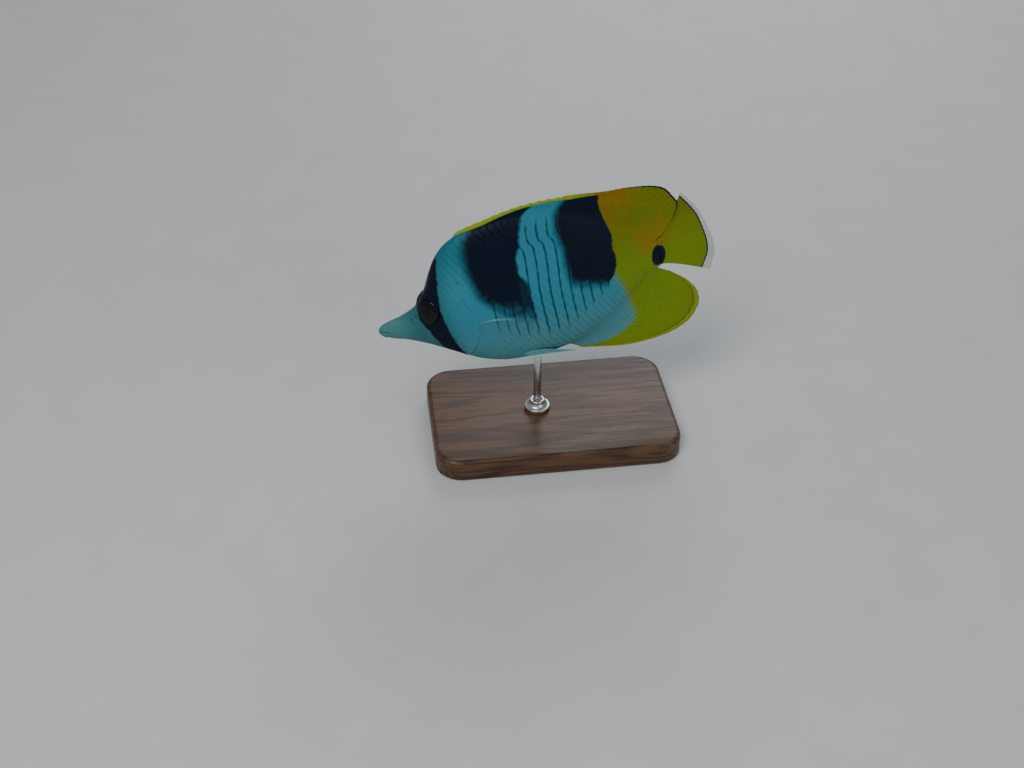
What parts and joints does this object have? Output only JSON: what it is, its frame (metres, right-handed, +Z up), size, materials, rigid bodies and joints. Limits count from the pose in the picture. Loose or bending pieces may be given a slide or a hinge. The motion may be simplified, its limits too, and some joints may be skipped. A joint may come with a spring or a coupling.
{
  "type": "museum model of a butterflyfish",
  "caption": "A life-size butterflyfish with dark saddles and a yellow rear, held nose down on a rod over a wooden base.",
  "frame": {"origin": "Centre of the underside of the whole model's box, on the surface that the base stands on.", "axes": "+X runs along the fish from snout to tail, the box's longest side, +Y towards the fish's right side, and +Z up"},
  "size_m": [0.1324, 0.06, 0.1045],
  "materials": {
    "pale_skin": "satin painted skin, pale blue-grey with dark bars",
    "yellow_skin": "satin painted skin, strong yellow",
    "clear_fin": "thin translucent membrane",
    "eye_black": "wet gloss",
    "dark_wood": "satin varnish",
    "steel": "fine brushed"
  },
  "bodies": {
    "root": {"head": "pale_skin", "lower_jaw": "pale_skin", "gill_cover_left": "pale_skin", "gill_cover_right": "pale_skin", "trunk": "pale_skin", "tail_stalk": "yellow_skin", "eye_left": "eye_black", "eye_right": "eye_black", "dorsal_fin_spiny": "yellow_skin", "dorsal_fin_soft": "yellow_skin", "anal_fin": "yellow_skin", "tail_fin": "yellow_skin", "pectoral_fin_left": "clear_fin", "pectoral_fin_right": "clear_fin", "pelvic_fin_left": "pale_skin", "pelvic_fin_right": "pale_skin", "stand_base": "dark_wood", "stand_collar": "steel", "stand_rod": "steel"}
  },
  "joints": []
}
